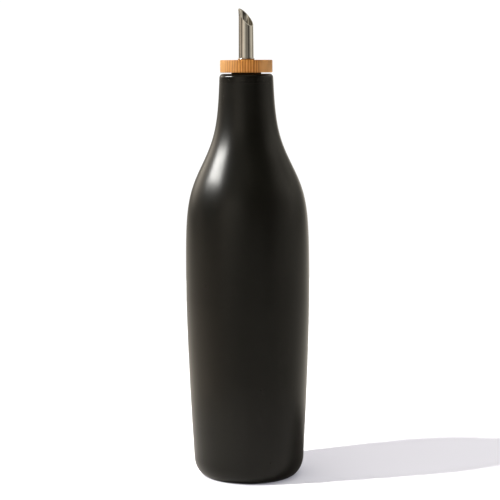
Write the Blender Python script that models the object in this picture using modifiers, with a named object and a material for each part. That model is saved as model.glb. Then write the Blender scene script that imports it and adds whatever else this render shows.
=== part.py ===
"""Ceramic oil dispenser: a hollow round bottle, a rubber stopper in its neck, and a steel pouring
tube that passes through a bamboo collar and the stopper.

Metres, +Z up. The origin is at the centre of the foot, on the surface that the bottle stands on.
The mouth of the pouring tube opens towards +X and a little towards -Y.
"""

import math

import bmesh
import bpy
import numpy as np
from mathutils import Matrix, Vector

# Gap kept between two pieces that touch in the real object
CLEARANCE = 0.0003

# Bottle, outside: a barrel that narrows towards the foot and flows through a soft shoulder to the neck
LIP_HEIGHT = 0.268
WAIST_HEIGHT = 0.124
WAIST_RADIUS = 0.04105
TAPERED_RADIUS = 0.0361
TAPER_POWER = 1.45
SHOULDER_HEIGHT = 0.2079
SHOULDER_SOFTNESS = 0.0117
NECK_RADIUS = 0.0190
NECK_SLOPE = 0.025
LIP_ROUNDING = 0.0026
FOOT_RADIUS = 0.0277
FOOT_CORNER_HEIGHT = 0.0134
FOOT_RECESS_RADIUS = 0.0215
FOOT_RECESS_DEPTH = 0.0012

# Bottle, inside
WALL = 0.0045
FLOOR_HEIGHT = 0.0062
FLOOR_CORNER = 0.0095
BORE_RADIUS = 0.0101
BORE_EDGE = 0.0010
CAVITY_SHOULDER_HEIGHT = 0.205
CAVITY_SOFTNESS = 0.010

# Bamboo collar
COLLAR_BOTTOM = 0.2690
COLLAR_THICKNESS = 0.0082
COLLAR_RADIUS = 0.0172
COLLAR_EDGE = 0.0006

# Rubber stopper
STOPPER_RADIUS = 0.0098
STOPPER_TIP_RADIUS = 0.0094
STOPPER_LENGTH = 0.0225
STOPPER_EDGE = 0.0012

# Pouring tube
TUBE_RADIUS = 0.00475
TUBE_WALL = 0.0005
TUBE_BELOW_STOPPER = 0.002
TUBE_FOOT_RADIUS = 0.0055
TUBE_FOOT_HEIGHT = 0.0013
MOUTH_TIP_HEIGHT = 0.3107
MOUTH_SLOPE = math.radians(50.0)
MOUTH_HEADING = math.radians(-37.0)
MOUTH_FLARE = 0.0005
MOUTH_FLARE_LENGTH = 0.0055

# Facets round the turned pieces
BOTTLE_STEPS = 48
COLLAR_STEPS = 48
STOPPER_STEPS = 32
TUBE_STEPS = 32

SMOOTH_ANGLE = math.radians(35.0)
MERGE_DISTANCE = 0.00001


def clear_scene():
    """Remove every object that the scene starts with."""
    for old in list(bpy.data.objects):
        bpy.data.objects.remove(old, do_unlink=True)


def collection(name):
    """A new collection in the scene."""
    made = bpy.data.collections.new(name)
    bpy.context.scene.collection.children.link(made)
    return made


def material(name, colour, roughness, metallic=0.0, coat=0.0):
    """A Principled material; the colour is linear red, green and blue."""
    made = bpy.data.materials.new(name)
    made.use_nodes = True
    shader = made.node_tree.nodes["Principled BSDF"]
    shader.inputs["Base Color"].default_value = (*colour, 1.0)
    shader.inputs["Roughness"].default_value = roughness
    shader.inputs["Metallic"].default_value = metallic
    shader.inputs["Coat Weight"].default_value = coat
    made.diffuse_color = (*colour, 1.0)
    return made


def arc(centre, radii, start, end, steps):
    """Points (radius, height) on an elliptical arc; the angles are in degrees from the outward side."""
    angles = np.radians(np.linspace(start, end, steps + 1))
    return [(centre[0] + radii[0] * math.cos(a), centre[1] + radii[1] * math.sin(a)) for a in angles]


def blend(height, middle, softness):
    """Smooth step from 0 below the middle height to 1 above it."""
    return 1.0 / (1.0 + math.exp(-(height - middle) / softness))


def barrel_radius(height):
    """Outer radius of the body without its shoulder: full at the waist, narrower towards the foot."""
    below = max(WAIST_HEIGHT - height, 0.0) / WAIST_HEIGHT
    return WAIST_RADIUS - (WAIST_RADIUS - TAPERED_RADIUS) * below ** TAPER_POWER


def outer_radius(height):
    """Outer radius of the bottle, from the body through the shoulder to the neck."""
    neck = NECK_RADIUS - NECK_SLOPE * (height - SHOULDER_HEIGHT)
    share = blend(height, SHOULDER_HEIGHT, SHOULDER_SOFTNESS)
    return barrel_radius(height) * (1.0 - share) + neck * share


def cavity_radius(height):
    """Inner radius of the bottle, from the body's cavity to the bore of the neck."""
    share = blend(height, CAVITY_SHOULDER_HEIGHT, CAVITY_SOFTNESS)
    return (barrel_radius(height) - WALL) * (1.0 - share) + BORE_RADIUS * share


def heights(low, high, steps):
    """Heights from low to high, without low itself."""
    return np.linspace(low, high, steps + 1)[1:]


def bottle_profile():
    """Half section: from the middle of the inner floor up the cavity, over the lip and down to the foot."""
    wall_start = FLOOR_HEIGHT + FLOOR_CORNER
    corner_centre = (cavity_radius(wall_start) - FLOOR_CORNER, wall_start)
    inside = [(0.0, FLOOR_HEIGHT)]
    inside += arc(corner_centre, (FLOOR_CORNER, FLOOR_CORNER), -90.0, 0.0, 5)
    shoulder_start = CAVITY_SHOULDER_HEIGHT - 4.0 * CAVITY_SOFTNESS
    shoulder_end = CAVITY_SHOULDER_HEIGHT + 3.5 * CAVITY_SOFTNESS
    inside += [(cavity_radius(z), z) for z in heights(wall_start, shoulder_start, 5)]
    inside += [(cavity_radius(z), z) for z in heights(shoulder_start, shoulder_end, 10)]

    bore_end = LIP_HEIGHT - BORE_EDGE
    bore = cavity_radius(bore_end)
    lip_side = LIP_HEIGHT - LIP_ROUNDING
    lip_radius = outer_radius(lip_side)
    lip = arc((bore + BORE_EDGE, bore_end), (BORE_EDGE, BORE_EDGE), 180.0, 90.0, 2)
    lip += arc((lip_radius - LIP_ROUNDING, lip_side), (LIP_ROUNDING, LIP_ROUNDING), 90.0, 0.0, 4)

    neck_end = SHOULDER_HEIGHT + 3.5 * SHOULDER_SOFTNESS
    body_end = SHOULDER_HEIGHT - 4.5 * SHOULDER_SOFTNESS
    outside = [(outer_radius(z), z) for z in heights(lip_side, neck_end, 2)]
    outside += [(outer_radius(z), z) for z in heights(neck_end, body_end, 14)]
    outside += [(outer_radius(z), z) for z in heights(body_end, FOOT_CORNER_HEIGHT, 8)]

    side = outer_radius(FOOT_CORNER_HEIGHT)
    corner = arc((FOOT_RADIUS, FOOT_CORNER_HEIGHT), (side - FOOT_RADIUS, FOOT_CORNER_HEIGHT), 0.0, -90.0, 7)
    foot = [
        (FOOT_RECESS_RADIUS, 0.0),
        (FOOT_RECESS_RADIUS - FOOT_RECESS_DEPTH, FOOT_RECESS_DEPTH),
        (0.0, FOOT_RECESS_DEPTH),
    ]
    return inside + lip + outside + corner[1:] + foot


def collar_profile():
    """Ring section of the collar, closed, with its outer and hole edges broken."""
    top = COLLAR_BOTTOM + COLLAR_THICKNESS
    hole = TUBE_RADIUS + CLEARANCE
    edge = COLLAR_EDGE
    rim = COLLAR_RADIUS - edge
    profile = [(hole, top - edge / 2.0), (hole + edge / 2.0, top)]
    profile += arc((rim, top - edge), (edge, edge), 90.0, 0.0, 2)
    profile += arc((rim, COLLAR_BOTTOM + edge), (edge, edge), 0.0, -90.0, 2)
    profile += [(hole, COLLAR_BOTTOM)]
    return profile


def stopper_profile():
    """Ring section of the stopper, closed: a plug that narrows a little towards its lower end."""
    top = COLLAR_BOTTOM - CLEARANCE
    bottom = top - STOPPER_LENGTH
    hole = TUBE_RADIUS + CLEARANCE
    return [
        (hole, top),
        (STOPPER_RADIUS, top),
        (STOPPER_TIP_RADIUS, bottom + STOPPER_EDGE),
        (STOPPER_TIP_RADIUS - STOPPER_EDGE, bottom),
        (hole, bottom),
    ]


def tube_profile():
    """Ring section of the tube, closed, longer than the real tube until its mouth is cut slanting."""
    seat = COLLAR_BOTTOM + COLLAR_THICKNESS + CLEARANCE
    bottom = COLLAR_BOTTOM - CLEARANCE - STOPPER_LENGTH - TUBE_BELOW_STOPPER
    top = MOUTH_TIP_HEIGHT + TUBE_RADIUS
    flare_start = MOUTH_TIP_HEIGHT - MOUTH_FLARE_LENGTH

    def flare(height):
        """Outward lean of the wall near the pouring tip."""
        return MOUTH_FLARE * ((height - flare_start) / MOUTH_FLARE_LENGTH) ** 2

    flared = np.linspace(top, flare_start, 8)
    outside = [(TUBE_RADIUS + flare(z), z) for z in flared]
    spread = TUBE_FOOT_RADIUS - TUBE_RADIUS
    outside += arc((TUBE_FOOT_RADIUS, seat + TUBE_FOOT_HEIGHT), (spread, TUBE_FOOT_HEIGHT), 180.0, 240.0, 3)
    outside += [(TUBE_FOOT_RADIUS, seat + TUBE_FOOT_HEIGHT / 6.0), (TUBE_FOOT_RADIUS, seat)]
    outside += [(TUBE_RADIUS, seat), (TUBE_RADIUS, bottom)]
    bore = TUBE_RADIUS - TUBE_WALL
    inside = [(bore, bottom)] + [(bore + flare(z), z) for z in flared[::-1]]
    return outside + inside


def turned(name, profile, steps, closed, finish, home):
    """Turn a half section (radius, height) about Z into a closed solid."""
    ring = bmesh.new()
    points = [ring.verts.new((radius, 0.0, height)) for radius, height in profile]
    for first, second in zip(points, points[1:]):
        ring.edges.new((first, second))
    if closed:
        ring.edges.new((points[-1], points[0]))
    mesh = bpy.data.meshes.new(name)
    ring.to_mesh(mesh)
    ring.free()
    made = bpy.data.objects.new(name, mesh)
    home.objects.link(made)
    screw = made.modifiers.new("turn", "SCREW")
    screw.axis = "Z"
    screw.angle = 2.0 * math.pi
    screw.steps = steps
    screw.render_steps = steps
    screw.use_merge_vertices = True
    screw.merge_threshold = MERGE_DISTANCE
    screw.use_smooth_shade = True
    mesh.materials.append(finish)
    return made


def settled(piece):
    """Replace a piece's mesh by its evaluated one, smooth but with its real edges sharp."""
    bpy.context.view_layer.update()
    seen = piece.evaluated_get(bpy.context.evaluated_depsgraph_get())
    mesh = bpy.data.meshes.new_from_object(seen)
    mesh.name = piece.name
    piece.modifiers.clear()
    piece.data = mesh
    mesh.shade_smooth()
    mesh.set_sharp_from_angle(angle=SMOOTH_ANGLE)
    return piece


def mouth_cutter(home):
    """A block whose lower face is the slanting plane of the tube's mouth."""
    block = bmesh.new()
    bmesh.ops.create_cube(block, size=1.0)
    size = 10.0 * TUBE_RADIUS
    bmesh.ops.scale(block, vec=(size, size, size), verts=block.verts)
    bmesh.ops.translate(block, vec=(0.0, 0.0, size / 2.0), verts=block.verts)
    mesh = bpy.data.meshes.new("mouth_cutter")
    block.to_mesh(mesh)
    block.free()
    cutter = bpy.data.objects.new("mouth_cutter", mesh)
    home.objects.link(cutter)
    reach = TUBE_RADIUS + MOUTH_FLARE
    middle = MOUTH_TIP_HEIGHT - reach * math.tan(MOUTH_SLOPE)
    turn = Matrix.Rotation(MOUTH_HEADING, 4, "Z") @ Matrix.Rotation(MOUTH_SLOPE, 4, "Y")
    cutter.matrix_world = Matrix.Translation(Vector((0.0, 0.0, middle))) @ turn
    cutter.hide_render = True
    cutter.display_type = "WIRE"
    return cutter


def bottle(home):
    """The stoneware bottle, hollow, open at the lip, on a narrow foot ring."""
    finish = material("ceramic", (0.016, 0.015, 0.012), 0.36, coat=0.25)
    return settled(turned("bottle", bottle_profile(), BOTTLE_STEPS, False, finish, home))


def collar(home):
    """The bamboo collar that caps the stopper."""
    finish = material("bamboo", (0.46, 0.23, 0.085), 0.5)
    return settled(turned("bamboo_collar", collar_profile(), COLLAR_STEPS, True, finish, home))


def stopper(home):
    """The rubber stopper, in the neck, a little proud of the lip."""
    finish = material("rubber", (0.012, 0.009, 0.007), 0.7)
    return settled(turned("stopper", stopper_profile(), STOPPER_STEPS, True, finish, home))


def tube(home, cutters):
    """The steel pouring tube with its flared foot and its slanting mouth."""
    finish = material("steel", (0.62, 0.59, 0.55), 0.16, metallic=1.0)
    piece = turned("pouring_tube", tube_profile(), TUBE_STEPS, True, finish, home)
    cut = piece.modifiers.new("mouth", "BOOLEAN")
    cut.operation = "DIFFERENCE"
    cut.solver = "EXACT"
    cut.object = mouth_cutter(cutters)
    return settled(piece)


def main():
    """Build the dispenser."""
    clear_scene()
    home = collection("oil_dispenser")
    cutters = collection("cutters")
    bottle(home)
    stopper(home)
    collar(home)
    tube(home, cutters)


main()
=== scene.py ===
"""Looks of the ceramic oil dispenser: satin dark glaze, bamboo, rubber and polished steel, set in a
white studio that is lit from the left.

Metres, +Z up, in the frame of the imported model. The camera looks along +Y.
"""

import math

import bmesh
import bpy
import numpy as np
from mathutils import Matrix, Vector

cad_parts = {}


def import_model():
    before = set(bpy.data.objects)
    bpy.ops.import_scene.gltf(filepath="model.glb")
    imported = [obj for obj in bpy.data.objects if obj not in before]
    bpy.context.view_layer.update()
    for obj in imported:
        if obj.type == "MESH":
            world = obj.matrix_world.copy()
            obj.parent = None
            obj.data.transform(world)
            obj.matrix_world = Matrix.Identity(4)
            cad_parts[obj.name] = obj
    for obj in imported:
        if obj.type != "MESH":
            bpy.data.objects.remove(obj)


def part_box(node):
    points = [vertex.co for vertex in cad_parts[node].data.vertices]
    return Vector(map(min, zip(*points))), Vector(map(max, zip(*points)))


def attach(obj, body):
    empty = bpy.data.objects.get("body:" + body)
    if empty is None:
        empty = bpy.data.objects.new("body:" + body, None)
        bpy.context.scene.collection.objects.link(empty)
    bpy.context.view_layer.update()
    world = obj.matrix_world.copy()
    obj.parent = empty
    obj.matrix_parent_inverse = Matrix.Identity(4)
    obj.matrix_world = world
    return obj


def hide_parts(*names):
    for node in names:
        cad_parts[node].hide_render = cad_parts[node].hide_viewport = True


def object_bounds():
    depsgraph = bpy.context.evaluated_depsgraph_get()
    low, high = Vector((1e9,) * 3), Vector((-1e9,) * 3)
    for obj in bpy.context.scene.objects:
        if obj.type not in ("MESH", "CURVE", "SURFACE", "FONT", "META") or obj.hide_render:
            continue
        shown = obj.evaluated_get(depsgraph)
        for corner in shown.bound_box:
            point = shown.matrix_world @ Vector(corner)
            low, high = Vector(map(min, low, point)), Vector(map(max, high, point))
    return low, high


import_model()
CAD_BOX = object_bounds()

# The picture: 500 by 500 pixels, a long lens at the height of the lip, turned very slightly
SENSOR_MM = 36.0
PICTURE_PX = 500.0
FOCAL_PX = 1514.8
CAMERA_PLACE = Vector((0.00165, -1.0, 0.272))
CAMERA_AIM = Vector((0.00165, 0.0, 0.1518))
CAMERA_ROLL = math.radians(-0.383)

# Bottle, outside
LIP_HEIGHT = 0.2682
WAIST_HEIGHT = 0.124
WAIST_RADIUS = 0.04105
TAPERED_RADIUS = 0.0361
TAPER_POWER = 1.45
SHOULDER_HEIGHT = 0.2079
SHOULDER_SOFTNESS = 0.0117
NECK_RADIUS = 0.0190
NECK_SLOPE = 0.025
LIP_ROUNDING = 0.0026
FOOT_RADIUS = 0.0277
FOOT_CORNER_HEIGHT = 0.0134
FOOT_RECESS_RADIUS = 0.0215
FOOT_RECESS_DEPTH = 0.0012
RAW_CLAY_HEIGHT = 0.0002
RAW_CLAY_MARGIN = 0.0012
WIDEST = CAD_BOX[1][0]

# Bottle, inside
WALL = 0.0045
FLOOR_HEIGHT = 0.0062
FLOOR_CORNER = 0.0095
BORE_RADIUS = 0.0101
BORE_EDGE = 0.0010
CAVITY_SHOULDER_HEIGHT = 0.205
CAVITY_SOFTNESS = 0.010

# Collar, stopper and pouring tube, from the frame's boxes and the parts' own shapes
COLLAR_LOW, COLLAR_HIGH = (Vector(corner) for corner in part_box("bamboo_collar"))
COLLAR_RADIUS = COLLAR_HIGH.x
COLLAR_EDGE = 0.0006
STOPPER_LOW, STOPPER_HIGH = (Vector(corner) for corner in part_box("stopper"))
STOPPER_RADIUS = STOPPER_HIGH.x
STOPPER_TAPER = 0.0004
STOPPER_EDGE = 0.0012
TUBE_LOW, TUBE_HIGH = (Vector(corner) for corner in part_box("pouring_tube"))
TUBE_RADIUS = 0.00475
TUBE_WALL = 0.0005
TUBE_FOOT_RADIUS = 0.0055
TUBE_FOOT_HEIGHT = 0.0013
MOUTH_SLOPE = math.radians(50.0)
MOUTH_HEADING = math.radians(-37.0)
MOUTH_FLARE = 0.0005
MOUTH_FLARE_LENGTH = 0.0055
FIT_GAP = 0.0003
SEAT_GAP = 0.00004
CUT_MARGIN = 0.000002

# Facets round the turned pieces, and the angles beyond which an edge stays sharp
BOTTLE_STEPS = 192
COLLAR_STEPS = 128
STOPPER_STEPS = 96
TUBE_STEPS = 96
SHARP_ANGLE = math.radians(35.0)
BOTTLE_SHARP_ANGLE = math.radians(50.0)


def arc(centre, radii, start, end, steps):
    """Points (radius, height) on an elliptical arc; the angles are in degrees from the outward side."""
    angles = np.radians(np.linspace(start, end, steps + 1))
    return [(centre[0] + radii[0] * math.cos(a), centre[1] + radii[1] * math.sin(a)) for a in angles]


def blend(height, middle, softness):
    """Smooth step from 0 below the middle height to 1 above it."""
    return 1.0 / (1.0 + math.exp(-(height - middle) / softness))


def barrel_radius(height):
    """Outer radius of the body without its shoulder."""
    below = max(WAIST_HEIGHT - height, 0.0) / WAIST_HEIGHT
    return WAIST_RADIUS - (WAIST_RADIUS - TAPERED_RADIUS) * below ** TAPER_POWER


def outer_radius(height):
    """Outer radius of the bottle, nowhere wider than the solid's own facets."""
    neck = NECK_RADIUS - NECK_SLOPE * (height - SHOULDER_HEIGHT)
    share = blend(height, SHOULDER_HEIGHT, SHOULDER_SOFTNESS)
    return min(barrel_radius(height) * (1.0 - share) + neck * share, WIDEST)


def cavity_radius(height):
    """Inner radius of the bottle."""
    share = blend(height, CAVITY_SHOULDER_HEIGHT, CAVITY_SOFTNESS)
    return (barrel_radius(height) - WALL) * (1.0 - share) + BORE_RADIUS * share


def heights(low, high, steps):
    """Heights from low to high, without low itself."""
    return np.linspace(low, high, steps + 1)[1:]


def bottle_profile():
    """Half section, from the middle of the inner floor over the lip to the middle of the foot."""
    wall_start = FLOOR_HEIGHT + FLOOR_CORNER
    corner_centre = (cavity_radius(wall_start) - FLOOR_CORNER, wall_start)
    inside = [(0.0, FLOOR_HEIGHT)]
    inside += arc(corner_centre, (FLOOR_CORNER, FLOOR_CORNER), -90.0, 0.0, 8)
    bore_end = LIP_HEIGHT - BORE_EDGE
    inside += [(cavity_radius(z), z) for z in heights(wall_start, bore_end, 60)]
    bore = cavity_radius(bore_end)
    lip_side = LIP_HEIGHT - LIP_ROUNDING
    lip_radius = outer_radius(lip_side)
    lip = arc((bore + BORE_EDGE, bore_end), (BORE_EDGE, BORE_EDGE), 180.0, 90.0, 5)
    lip += arc((lip_radius - LIP_ROUNDING, lip_side), (LIP_ROUNDING, LIP_ROUNDING), 90.0, 0.0, 10)
    outside = [(outer_radius(z), z) for z in heights(lip_side, FOOT_CORNER_HEIGHT, 130)]
    side = outer_radius(FOOT_CORNER_HEIGHT)
    corner_radii = (side - FOOT_RADIUS, FOOT_CORNER_HEIGHT)
    corner = arc((FOOT_RADIUS, FOOT_CORNER_HEIGHT), corner_radii, 0.0, -90.0, 16)
    recess = FOOT_RECESS_DEPTH
    foot = arc((FOOT_RECESS_RADIUS - recess, 0.0), (recess, recess), 0.0, 90.0, 4)
    return inside + lip + outside + corner[1:] + foot + [(0.0, recess)]


def collar_profile():
    """Closed ring section of the collar."""
    top = COLLAR_HIGH.z
    bottom = COLLAR_LOW.z
    hole = TUBE_RADIUS + FIT_GAP
    edge = COLLAR_EDGE
    rim = COLLAR_RADIUS - edge
    profile = [(hole, top - edge / 2.0), (hole + edge / 2.0, top)]
    profile += arc((rim, top - edge), (edge, edge), 90.0, 0.0, 5)
    profile += arc((rim, bottom + edge), (edge, edge), 0.0, -90.0, 5)
    profile += [(hole, bottom)]
    return profile


def stopper_profile():
    """Closed ring section of the stopper."""
    top = COLLAR_LOW.z - SEAT_GAP
    bottom = STOPPER_LOW.z
    hole = TUBE_RADIUS + FIT_GAP
    tip = STOPPER_RADIUS - STOPPER_TAPER
    round_top = STOPPER_EDGE / 4.0
    profile = [(hole, top)]
    profile += arc((STOPPER_RADIUS - round_top, top - round_top), (round_top, round_top), 90.0, 0.0, 3)
    profile += arc((tip - STOPPER_EDGE, bottom + STOPPER_EDGE), (STOPPER_EDGE, STOPPER_EDGE), 0.0, -90.0, 5)
    profile += [(hole, bottom)]
    return profile


def tube_profile():
    """Closed ring section of the tube, before its mouth is cut slanting."""
    seat = COLLAR_HIGH.z + SEAT_GAP
    bottom = TUBE_LOW.z
    top = TUBE_HIGH.z + TUBE_RADIUS
    flare_start = TUBE_HIGH.z - MOUTH_FLARE_LENGTH

    def flare(height):
        """Outward lean of the wall near the pouring tip."""
        return MOUTH_FLARE * ((height - flare_start) / MOUTH_FLARE_LENGTH) ** 2

    flared = np.linspace(top, flare_start, 24)
    outside = [(TUBE_RADIUS + flare(z), z) for z in flared]
    bead = TUBE_FOOT_HEIGHT / 2.0
    outside += arc((TUBE_FOOT_RADIUS - bead, seat + bead), (bead, bead), 82.0, -68.0, 14)
    outside += [(TUBE_RADIUS, seat), (TUBE_RADIUS, bottom)]
    bore = TUBE_RADIUS - TUBE_WALL
    inside = [(bore, bottom)] + [(bore + flare(z), z) for z in flared[::-1]]
    return outside + inside


def turned(name, profile, steps, closed):
    """Turn a half section (radius, height) about Z into a smooth solid."""
    ring = bmesh.new()
    points = [ring.verts.new((radius, 0.0, height)) for radius, height in profile]
    for first, second in zip(points, points[1:]):
        ring.edges.new((first, second))
    if closed:
        ring.edges.new((points[-1], points[0]))
    mesh = bpy.data.meshes.new(name)
    ring.to_mesh(mesh)
    ring.free()
    made = bpy.data.objects.new(name, mesh)
    bpy.context.scene.collection.objects.link(made)
    screw = made.modifiers.new("turn", "SCREW")
    screw.axis = "Z"
    screw.angle = 2.0 * math.pi
    screw.steps = steps
    screw.render_steps = steps
    screw.use_merge_vertices = True
    screw.merge_threshold = 0.00001
    screw.use_smooth_shade = True
    return made


def smoothed(mesh, sharp_angle):
    """Shade a mesh smooth, but with its real edges sharp."""
    mesh.shade_smooth()
    mesh.set_sharp_from_angle(angle=sharp_angle)


def settled(piece, sharp_angle=SHARP_ANGLE):
    """Replace a piece's mesh by its evaluated one, shaded smooth."""
    bpy.context.view_layer.update()
    seen = piece.evaluated_get(bpy.context.evaluated_depsgraph_get())
    mesh = bpy.data.meshes.new_from_object(seen)
    mesh.name = piece.name
    piece.modifiers.clear()
    piece.data = mesh
    smoothed(mesh, sharp_angle)
    return piece


class Nodes:
    """Short helper that adds and joins the nodes of a material, a lamp or the world."""

    def __init__(self, owner):
        owner.use_nodes = True
        self.owner = owner
        self.tree = owner.node_tree

    def add(self, kind):
        """A new node."""
        return self.tree.nodes.new(kind)

    def put(self, node, socket, value):
        """Set a socket's value, or link an output socket to it."""
        if isinstance(value, bpy.types.NodeSocket):
            self.tree.links.new(value, node.inputs[socket])
        else:
            node.inputs[socket].default_value = value

    def position(self, stretch=(1.0, 1.0, 1.0), turn=0.0):
        """Object coordinates, scaled along each axis and turned about Z."""
        mapping = self.add("ShaderNodeMapping")
        self.put(mapping, "Vector", self.add("ShaderNodeTexCoord").outputs["Object"])
        self.put(mapping, "Scale", stretch)
        self.put(mapping, "Rotation", (0.0, 0.0, turn))
        return mapping.outputs["Vector"]

    def along(self, axis, turn=0.0):
        """One of the object coordinates X, Y and Z, after a turn about Z."""
        split = self.add("ShaderNodeSeparateXYZ")
        self.put(split, "Vector", self.position(turn=turn))
        return split.outputs[axis]

    def noise(self, scale, detail=3.0, roughness=0.5, stretch=(1.0, 1.0, 1.0), turn=0.0):
        """A noise value over the object's own coordinates."""
        texture = self.add("ShaderNodeTexNoise")
        self.put(texture, "Vector", self.position(stretch, turn))
        self.put(texture, "Scale", scale)
        self.put(texture, "Detail", detail)
        self.put(texture, "Roughness", roughness)
        return texture.outputs["Fac"]

    def ramp(self, value, stops):
        """A colour ramp through the stops (place, colour)."""
        node = self.add("ShaderNodeValToRGB")
        self.put(node, "Fac", value)
        elements = node.color_ramp.elements
        while len(elements) < len(stops):
            elements.new(0.5)
        for element, (place, colour) in zip(elements, stops):
            element.position = place
            element.color = (*colour, 1.0)
        return node.outputs["Color"]

    def spread(self, value, low, high, start=0.0, end=1.0):
        """A value between start and end spread over low to high."""
        node = self.add("ShaderNodeMapRange")
        self.put(node, "Value", value)
        self.put(node, "From Min", start)
        self.put(node, "From Max", end)
        self.put(node, "To Min", low)
        self.put(node, "To Max", high)
        return node.outputs["Result"]

    def math(self, operation, first, second=0.0, clamp=False):
        """One arithmetic step."""
        node = self.add("ShaderNodeMath")
        node.operation = operation
        node.use_clamp = clamp
        self.put(node, 0, first)
        self.put(node, 1, second)
        return node.outputs[0]

    def mix(self, share, first, second):
        """Two colours mixed; each is an output socket or a plain colour."""
        node = self.add("ShaderNodeMix")
        node.data_type = "RGBA"
        self.put(node, 0, share)
        for index, colour in ((6, first), (7, second)):
            linked_colour = isinstance(colour, bpy.types.NodeSocket)
            self.put(node, index, colour if linked_colour else (*colour, 1.0))
        return node.outputs[2]

    def bump(self, height, strength, distance):
        """A bumped normal from a height value."""
        node = self.add("ShaderNodeBump")
        self.put(node, "Height", height)
        self.put(node, "Strength", strength)
        self.put(node, "Distance", distance)
        return node.outputs["Normal"]

    def finish(self, **sockets):
        """Set the surface shader's own sockets; an underscore stands for a space."""
        shader = self.tree.nodes["Principled BSDF"]
        for key, value in sockets.items():
            self.put(shader, key.replace("_", " "), value)
        return self.owner


def new_material(name):
    """The nodes of a new material."""
    return Nodes(bpy.data.materials.new(name))


# How much smoother the glaze is on the lip than elsewhere, and the heights between which it changes
LIP_SHINE = 0.09
LIP_SHINE_START = LIP_HEIGHT - 0.006
LIP_SHINE_FULL = LIP_HEIGHT - 0.003


def glaze_material():
    """Satin glaze, almost black with a warm cast, finely pitted and a little uneven."""
    nodes = new_material("satin_glaze")
    cloud = nodes.noise(38.0, 4.0, 0.55)
    colour = nodes.ramp(cloud, [(0.25, (0.0042, 0.0039, 0.0028)), (0.75, (0.0062, 0.0058, 0.0042))])
    pits = nodes.noise(1500.0, 2.0, 0.5)
    waves = nodes.noise(70.0, 2.0, 0.5)
    relief = nodes.math("ADD", nodes.math("MULTIPLY", pits, 0.25), waves)
    uneven = nodes.spread(nodes.noise(90.0, 3.0, 0.6), 0.26, 0.31)
    shine = nodes.spread(nodes.along("Z"), 0.0, LIP_SHINE, LIP_SHINE_START, LIP_SHINE_FULL)
    return nodes.finish(
        Base_Color=colour,
        Roughness=nodes.math("SUBTRACT", uneven, shine),
        Specular_IOR_Level=0.25,
        Normal=nodes.bump(relief, 0.10, 0.0002),
    )


def raw_clay_material():
    """Unglazed stoneware of the foot ring."""
    nodes = new_material("raw_clay")
    grain = nodes.noise(2600.0, 4.0, 0.7)
    colour = nodes.ramp(grain, [(0.3, (0.30, 0.24, 0.17)), (0.7, (0.46, 0.38, 0.28))])
    return nodes.finish(Base_Color=colour, Roughness=0.9, Normal=nodes.bump(grain, 0.4, 0.0001))


# Bamboo: the strips stand at a slight angle to the view, their fibres show as fine upright lines, and
# the last strip at the right is plain
STRIP_TURN = math.radians(8.0)
LINE_PERIOD = 0.00172
PLAIN_START = 0.0106
PLAIN_FADE = 0.0012
PLAIN_BLUR = 0.0015
# Painted light: the bamboo is coloured a lighter gold where the key lamp falls, fully at the left rim and
# fading out before the middle
PAINTED_LIGHT_FULL = -0.0170
PAINTED_LIGHT_END = -0.0010

# Colours of the bamboo
DARK_LINES = (0.31, 0.093, 0.010)
MIDDLE_LINES = (0.57, 0.228, 0.038)
LIGHT_LINES = (0.76, 0.345, 0.080)
# Painted light: the lighter gold of the lit left side
PAINTED_LIGHT_GOLD = (0.80, 0.45, 0.160)
PLAIN = (0.69, 0.355, 0.115)
STAINED = (0.42, 0.145, 0.022)


def bamboo_material():
    """Laminated bamboo with fine darker lines, plain at the right, and a lighter gold painted at the left
    as light from the key lamp.
    """
    nodes = new_material("bamboo")
    across = nodes.along("X", STRIP_TURN)
    wander = nodes.noise(1.0, 2.0, 0.6, (300.0, 18.0, 26.0), STRIP_TURN)
    even_phase = nodes.math("MULTIPLY", across, 2.0 * math.pi / LINE_PERIOD)
    phase = nodes.math("ADD", even_phase, nodes.math("MULTIPLY", wander, 9.0))
    wave = nodes.spread(nodes.math("SINE", phase), 0.0, 1.0, -1.0, 1.0)
    fibre = nodes.noise(1.0, 3.0, 0.7, (1700.0, 40.0, 130.0), STRIP_TURN)
    broad = nodes.noise(1.0, 2.0, 0.5, (190.0, 9.0, 22.0), STRIP_TURN)
    lined = nodes.spread(across, 1.0, 0.16, PLAIN_START, PLAIN_START + PLAIN_FADE)

    tone = nodes.math("ADD", nodes.math("MULTIPLY", wave, 0.46), nodes.math("MULTIPLY", fibre, 0.54))
    tone = nodes.math("ADD", nodes.math("MULTIPLY", nodes.math("SUBTRACT", tone, 0.5), lined), 0.5)
    stripes = nodes.ramp(tone, [(0.22, DARK_LINES), (0.50, MIDDLE_LINES), (0.78, LIGHT_LINES)])
    # Painted light: a lighter gold over the left half, where the key lamp falls
    painted_light = nodes.spread(across, 0.72, 0.0, PAINTED_LIGHT_FULL, PAINTED_LIGHT_END)
    plain = nodes.spread(across, 0.0, 0.85, PLAIN_START - PLAIN_BLUR, PLAIN_START + PLAIN_BLUR)
    stained = nodes.spread(broad, 0.30, 0.0, 0.35, 0.65)
    colour = nodes.mix(painted_light, stripes, PAINTED_LIGHT_GOLD)
    colour = nodes.mix(plain, colour, PLAIN)
    colour = nodes.mix(stained, colour, STAINED)
    relief = nodes.math("ADD", tone, nodes.math("MULTIPLY", fibre, 0.5))
    return nodes.finish(
        Base_Color=colour,
        Roughness=nodes.spread(tone, 0.58, 0.44),
        Specular_IOR_Level=0.35,
        Normal=nodes.bump(relief, 0.25, 0.0002),
    )


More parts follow.
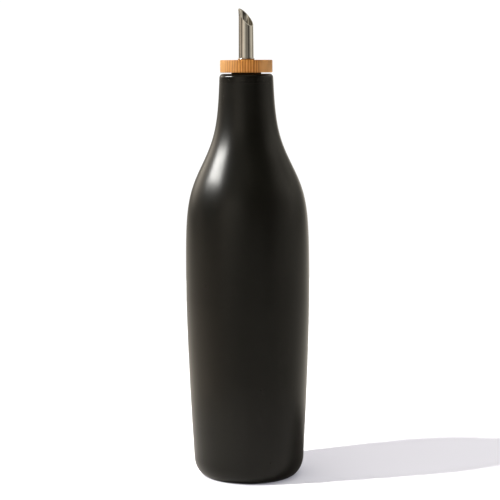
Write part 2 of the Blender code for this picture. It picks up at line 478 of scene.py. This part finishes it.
def steel_material():
    """Drawn and polished stainless steel, with fine lines along the tube."""
    nodes = new_material("polished_steel")
    drawn = nodes.noise(1.0, 3.0, 0.6, (2400.0, 2400.0, 30.0))
    cloud = nodes.noise(220.0, 2.0, 0.5)
    colour = nodes.ramp(cloud, [(0.3, (0.57, 0.545, 0.50)), (0.7, (0.63, 0.605, 0.56))])
    return nodes.finish(
        Base_Color=colour,
        Metallic=1.0,
        Roughness=nodes.spread(drawn, 0.06, 0.10),
        Normal=nodes.bump(drawn, 0.04, 0.00005),
    )


def rubber_material():
    """Dark brown-black rubber, matt."""
    nodes = new_material("dark_rubber")
    grain = nodes.noise(1800.0, 3.0, 0.6)
    colour = nodes.ramp(grain, [(0.3, (0.006, 0.0045, 0.0035)), (0.7, (0.013, 0.0095, 0.0075))])
    return nodes.finish(Base_Color=colour, Roughness=0.75, Normal=nodes.bump(grain, 0.3, 0.00008))


def place(piece, node, slot, finish):
    """Stand a piece in for its CAD node, on the only body."""
    piece.data.materials.clear()
    piece.data.materials.append(finish)
    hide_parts(node)
    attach(piece, "root")
    return piece


def bottle():
    """The glazed bottle, with an unglazed ring where it stands."""
    piece = settled(turned("ceramic_bottle", bottle_profile(), BOTTLE_STEPS, False), BOTTLE_SHARP_ANGLE)
    place(piece, "bottle", "ceramic", glaze_material())
    piece.data.materials.append(raw_clay_material())
    for face in piece.data.polygons:
        reach = math.hypot(face.center.x, face.center.y)
        on_ring = FOOT_RECESS_RADIUS < reach < FOOT_RADIUS + RAW_CLAY_MARGIN
        if on_ring and face.center.z < RAW_CLAY_HEIGHT:
            face.material_index = 1
    return piece


def collar():
    """The bamboo collar."""
    piece = settled(turned("bamboo_disc", collar_profile(), COLLAR_STEPS, True))
    return place(piece, "bamboo_collar", "bamboo", bamboo_material())


def stopper():
    """The rubber stopper."""
    piece = settled(turned("rubber_stopper", stopper_profile(), STOPPER_STEPS, True))
    return place(piece, "stopper", "rubber", rubber_material())


def tube():
    """The pouring tube, its mouth cut along a slanting plane."""
    piece = settled(turned("steel_tube", tube_profile(), TUBE_STEPS, True))
    reach = TUBE_RADIUS + MOUTH_FLARE
    middle = TUBE_HIGH.z - reach * math.tan(MOUTH_SLOPE) - CUT_MARGIN
    turn = Matrix.Rotation(MOUTH_HEADING, 3, "Z") @ Matrix.Rotation(MOUTH_SLOPE, 3, "Y")
    mesh = bmesh.new()
    mesh.from_mesh(piece.data)
    cut = bmesh.ops.bisect_plane(
        mesh,
        geom=mesh.verts[:] + mesh.edges[:] + mesh.faces[:],
        plane_co=(0.0, 0.0, middle),
        plane_no=turn @ Vector((0.0, 0.0, 1.0)),
        clear_outer=True,
    )
    rims = [edge for edge in cut["geom_cut"] if isinstance(edge, bmesh.types.BMEdge)]
    bmesh.ops.bridge_loops(mesh, edges=rims)
    bmesh.ops.recalc_face_normals(mesh, faces=mesh.faces)
    mesh.to_mesh(piece.data)
    mesh.free()
    smoothed(piece.data, SHARP_ANGLE)
    return place(piece, "pouring_tube", "steel", steel_material())


# Studio floor, and the smaller copy of it that shows in the glaze, with painted light and shade: brighter
# towards the light at its left, dimmer at its right
FLOOR_REACH = 0.95
FLOOR_STEPS = 96
MIRRORED_REACH = 0.20
MIRRORED_LIFT = 0.0002
MIRRORED_CHANGE = 0.12
# Painted light and shade across the mirrored floor, from its lit left side to its dimmer right side
MIRRORED_PAINTED_LIGHT_STOPS = [
    (0.1, (1.0, 0.985, 1.0)),
    (0.35, (0.85, 0.84, 0.87)),
    (0.55, (0.67, 0.66, 0.69)),
    (1.0, (0.65, 0.64, 0.67)),
]


def floor_material():
    """Even white surface, with the faintest cool cloud in it."""
    nodes = new_material("white_floor")
    colour = nodes.ramp(nodes.noise(3.0), [(0.3, (0.80, 0.79, 0.82)), (0.7, (0.82, 0.81, 0.84))])
    return nodes.finish(Base_Color=colour, Roughness=1.0, Specular_IOR_Level=0.0)


def mirrored_material():
    """The floor that shows in the glaze, with painted light and shade: bright at its left towards the key
    lamp and dimmer at its right.
    """
    nodes = new_material("mirrored_floor")
    across = nodes.spread(nodes.along("X"), 0.0, 1.0, -MIRRORED_CHANGE, MIRRORED_CHANGE)
    colour = nodes.ramp(across, MIRRORED_PAINTED_LIGHT_STOPS)
    return nodes.finish(Base_Color=colour, Roughness=1.0, Specular_IOR_Level=0.0)


def disc(name, radius, finish):
    """A flat disc of the floor, at height 0."""
    mesh = bmesh.new()
    centre = mesh.verts.new((0.0, 0.0, 0.0))
    angles = [2.0 * math.pi * k / FLOOR_STEPS for k in range(FLOOR_STEPS)]
    rim = [mesh.verts.new((radius * math.cos(a), radius * math.sin(a), 0.0)) for a in angles]
    for first, second in zip(rim, rim[1:] + rim[:1]):
        mesh.faces.new((centre, first, second))
    data = bpy.data.meshes.new(name)
    mesh.to_mesh(data)
    mesh.free()
    data.materials.append(finish)
    made = bpy.data.objects.new(name, data)
    bpy.context.scene.collection.objects.link(made)
    return made


def floor():
    """A pale floor, and a smaller one that shows only in reflections."""
    seen = disc("floor", FLOOR_REACH, floor_material())
    seen.visible_glossy = False
    mirrored = disc("floor_mirrored", MIRRORED_REACH, mirrored_material())
    mirrored.location.z = MIRRORED_LIFT
    mirrored.visible_camera = False
    mirrored.visible_diffuse = False
    mirrored.visible_transmission = False
    mirrored.visible_shadow = False
    return seen, mirrored


def direction(azimuth, elevation, distance):
    """A place seen from the bottle: azimuth from the camera's side, positive to the right."""
    a = math.radians(azimuth)
    e = math.radians(elevation)
    return Vector((math.sin(a) * math.cos(e), -math.cos(a) * math.cos(e), math.sin(e))) * distance


def hung(name, data, place_at, aim):
    """Put a lamp at a place, aimed at a point."""
    made = bpy.data.objects.new(name, data)
    made.location = place_at
    made.rotation_euler = (Vector(aim) - Vector(place_at)).to_track_quat("-Z", "Y").to_euler()
    bpy.context.scene.collection.objects.link(made)
    return made


def softbox(name, place_at, aim, size, brightness, colour):
    """A rectangular lamp; the brightness is that of its surface."""
    data = bpy.data.lights.new(name, "AREA")
    data.shape = "RECTANGLE"
    data.size = size[0]
    data.size_y = size[1]
    data.energy = brightness * math.pi * size[0] * size[1]
    data.color = colour
    return hung(name, data, place_at, aim)


# The hard source that casts the shadow; its place is found from the shadow's outline
KEY_PLACE = (-0.746, -0.257, 1.139)
KEY_RADIUS = 0.016
KEY_STRENGTH = 1.02
KEY_COLOUR = (1.0, 0.985, 0.96)

# The light of the mirrored floor, from the same place, but softer and warmer
WARM_RADIUS = 0.12
WARM_STRENGTH = 1.2
WARM_COLOUR = (1.0, 0.95, 0.83)

# A low source in the same direction, which clears the floor in front of the foot
LOW_PLACE = (-0.330, -0.114, 0.09)
LOW_RADIUS = 0.012
LOW_STRENGTH = 2.7

# The soft source that shows on the shoulder and the lip
WINDOW_AZIMUTH = -89.0
WINDOW_ELEVATION = 33.5
WINDOW_DISTANCE = 1.2
WINDOW_SIZE = (0.62, 0.15)
WINDOW_AIM = Vector((0.0, 0.0, 0.19))
WINDOW_LEAN = math.radians(15.0)
WINDOW_BRIGHTNESS = 72.0
WINDOW_COLOUR = (1.0, 0.99, 0.955)

# Soft light from above, and an even light without shadow, for the floor's own white
TOP_PLACE = (0.0, 0.0, 2.2)
TOP_SIZE = (4.0, 4.0)
TOP_BRIGHTNESS = 1.02
TOP_COLOUR = (0.98, 0.985, 1.0)
FILL_STRENGTH = 0.85
FILL_COLOUR = (0.85, 0.87, 1.0)


def even_lamp(name, place_at, radius, strength, colour):
    """A small round lamp, as bright at any distance and without a reflection of itself."""
    data = bpy.data.lights.new(name, "POINT")
    data.shadow_soft_size = radius
    data.color = colour
    data.energy = 1.0
    nodes = Nodes(data)
    even = nodes.add("ShaderNodeLightFalloff")
    nodes.put(even, "Strength", strength * 4.0 * math.pi ** 2)
    nodes.put(nodes.tree.nodes["Emission"], "Strength", even.outputs["Constant"])
    made = hung(name, data, place_at, (0.0, 0.0, 0.0))
    made.visible_glossy = False
    return made


def linked(lamp, surfaces, state):
    """Let a lamp light these surfaces alone (INCLUDE), or all but these (EXCLUDE)."""
    group = bpy.data.collections.new(lamp.name + "_lights")
    for surface in surfaces:
        group.objects.link(surface)
    for member in group.collection_objects:
        member.light_linking.link_state = state
    lamp.light_linking.receiver_collection = group


def lights(seen, mirrored, wood):
    """Hard key, low light on the floor, glossy window, soft top light and even fill."""
    low = even_lamp("low", LOW_PLACE, LOW_RADIUS, LOW_STRENGTH, KEY_COLOUR)
    low.data.cycles.max_bounces = 0
    linked(low, [seen], "INCLUDE")
    key = even_lamp("key", KEY_PLACE, KEY_RADIUS, KEY_STRENGTH, KEY_COLOUR)
    linked(key, [mirrored], "EXCLUDE")
    warm = even_lamp("key_mirrored", KEY_PLACE, WARM_RADIUS, WARM_STRENGTH, WARM_COLOUR)
    linked(warm, [mirrored], "INCLUDE")

    spot = direction(WINDOW_AZIMUTH, WINDOW_ELEVATION, WINDOW_DISTANCE) + WINDOW_AIM
    window = softbox("window", spot, WINDOW_AIM, WINDOW_SIZE, WINDOW_BRIGHTNESS, WINDOW_COLOUR)
    window.rotation_euler.rotate_axis("Z", WINDOW_LEAN)
    window.visible_diffuse = False

    top = softbox("top", TOP_PLACE, (0.0, 0.0, 0.0), TOP_SIZE, TOP_BRIGHTNESS, TOP_COLOUR)
    top.visible_glossy = False
    linked(top, [mirrored, wood], "EXCLUDE")

    sun = bpy.data.lights.new("fill", "SUN")
    sun.energy = FILL_STRENGTH
    sun.color = FILL_COLOUR
    sun.use_shadow = False
    fill = hung("fill", sun, TOP_PLACE, (0.0, 0.0, 0.0))
    fill.visible_glossy = False
    linked(fill, [mirrored, wood], "EXCLUDE")


# Brightness of the room. Each row has a height above the horizon and its reach to both sides, in
# degrees, and pairs of azimuth from the camera's side, right positive, and strength. The last row is a
# narrow one, which the upright tube shows
ROOM = [
    (-18.0, 18.0, [(-180, 1.5), (-150, 1.75), (-120, 1.7), (-90, 1.75), (-60, 1.1), (-30, 0.53), (0, 0.6),
                   (30, 0.75), (60, 0.65), (90, 0.75), (120, 1.15), (150, 1.6), (180, 1.7)]),
    (0.0, 15.0, [(-180, 0.6), (-160, 0.30), (-140, 0.25), (-120, 0.06), (-100, 0.0), (-58, 0.0),
                 (-40, 0.78), (-20, 0.45), (0, 0.19), (22, 0.21), (30, 0.17), (36, 0.03), (44, 0.03),
                 (52, 0.22), (60, 0.42), (80, 0.6), (100, 0.44), (122, 0.14), (145, 0.35), (162, 1.3),
                 (180, 0.9)]),
    (15.0, 15.0, [(-180, 0.0), (-160, 0.1), (-140, 4.0), (-118, 1.2), (-100, 0.1), (-60, 0.15),
                  (-40, 1.25), (-20, 1.0), (-2, 0.15), (12, 0.0), (45, 0.0), (80, 0.5), (100, 1.15),
                  (120, 0.8), (140, 0.4), (160, 0.0), (180, 0.0)]),
    (30.0, 15.0, [(-180, 0.0), (-130, 0.6), (-112, 0.6), (-95, 0.1), (-60, 0.1), (-40, 0.4), (-20, 0.5),
                  (0, 0.1), (20, 0.0), (60, 0.05), (80, 1.1), (100, 1.2), (118, 0.2), (135, 1.2),
                  (160, 1.3), (180, 0.5)]),
    (50.0, 18.0, [(-180, 0.0), (-60, 0.0), (-30, 0.4), (0, 0.3), (25, 0.0), (180, 0.0)]),
    (90.0, 26.0, [(-180, 0.9), (180, 0.9)]),
    (1.5, 4.5, [(-180, 0.0), (-122, 0.0), (-112, 0.25), (-104, 0.95), (-96, 0.90), (-88, 0.28),
                (-77, 0.23), (-68, 0.45), (-58, 0.73), (-50, 0.6), (-40, 0.25), (-24, 0.24),
                (-8, 0.09), (8, 0.1), (33, 0.08), (40, 0.0), (68, 0.0), (82, 0.24), (100, 0.26),
                (127, 0.08), (150, 0.0), (180, 0.0)]),
]

# Colour of the room: pairs of azimuth and colour, warmer at the left
ROOM_TINT = [(-180, (1.0, 0.93, 0.80)), (-130, (1.0, 0.90, 0.76)), (-100, (1.0, 0.86, 0.70)),
             (-60, (1.0, 0.86, 0.70)), (-25, (1.0, 0.93, 0.80)), (180, (1.0, 0.93, 0.80))]

# Background that the camera sees
WHITE = (1.0, 1.0, 1.0, 1.0)
WHITE_STRENGTH = 1.05


def world():
    """White to the camera; to everything else a room with bright and dark sides."""
    made = bpy.data.worlds.new("room")
    bpy.context.scene.world = made
    nodes = Nodes(made)
    nodes.tree.nodes.clear()

    split = nodes.add("ShaderNodeSeparateXYZ")
    nodes.put(split, "Vector", nodes.add("ShaderNodeTexCoord").outputs["Generated"])
    azimuth = nodes.math("ARCTAN2", split.outputs["X"], nodes.math("MULTIPLY", split.outputs["Y"], -1.0))
    place_round = nodes.math("ADD", nodes.math("DIVIDE", azimuth, 2.0 * math.pi), 0.5)
    elevation = nodes.math("ARCSINE", split.outputs["Z"])

    def around(stops):
        """A colour that changes with the azimuth, through the stops (azimuth, colour)."""
        return nodes.ramp(place_round, [(angle / 360.0 + 0.5, colour) for angle, colour in stops])

    def background(colour, strength):
        """A plain source of one colour and strength."""
        node = nodes.add("ShaderNodeBackground")
        nodes.put(node, "Color", colour)
        nodes.put(node, "Strength", strength)
        return node.outputs["Background"]

    total = 0.0
    for height, reach, stops in ROOM:
        peak = max(strength for _, strength in stops)
        shares = around([(angle, (strength / peak,) * 3) for angle, strength in stops])
        off = nodes.math("ABSOLUTE", nodes.math("SUBTRACT", elevation, math.radians(height)))
        near = nodes.math("SUBTRACT", 1.0, nodes.math("DIVIDE", off, math.radians(reach)), clamp=True)
        row = nodes.math("MULTIPLY", nodes.math("MULTIPLY", shares, near), peak)
        total = nodes.math("ADD", row, total)

    choice = nodes.add("ShaderNodeMixShader")
    nodes.put(choice, 0, nodes.add("ShaderNodeLightPath").outputs["Is Camera Ray"])
    nodes.put(choice, 1, background(around(ROOM_TINT), total))
    nodes.put(choice, 2, background(WHITE, WHITE_STRENGTH))
    nodes.put(nodes.add("ShaderNodeOutputWorld"), "Surface", choice.outputs[0])


def camera():
    """The photograph's view."""
    data = bpy.data.cameras.new("view")
    data.sensor_width = SENSOR_MM
    data.sensor_fit = "HORIZONTAL"
    data.lens = FOCAL_PX / PICTURE_PX * SENSOR_MM
    data.clip_start = 0.01
    data.clip_end = 200.0
    made = bpy.data.objects.new("view", data)
    bpy.context.scene.collection.objects.link(made)
    look = (CAMERA_AIM - CAMERA_PLACE).to_track_quat("-Z", "Y").to_matrix().to_4x4()
    made.matrix_world = Matrix.Translation(CAMERA_PLACE) @ look @ Matrix.Rotation(CAMERA_ROLL, 4, "Z")
    bpy.context.scene.camera = made


def main():
    """Dress the part and set the stage."""
    bpy.context.scene.view_settings.view_transform = "Standard"
    camera()
    world()
    bottle()
    stopper()
    tube()
    seen, mirrored = floor()
    wood = collar()
    lights(seen, mirrored, wood)


main()
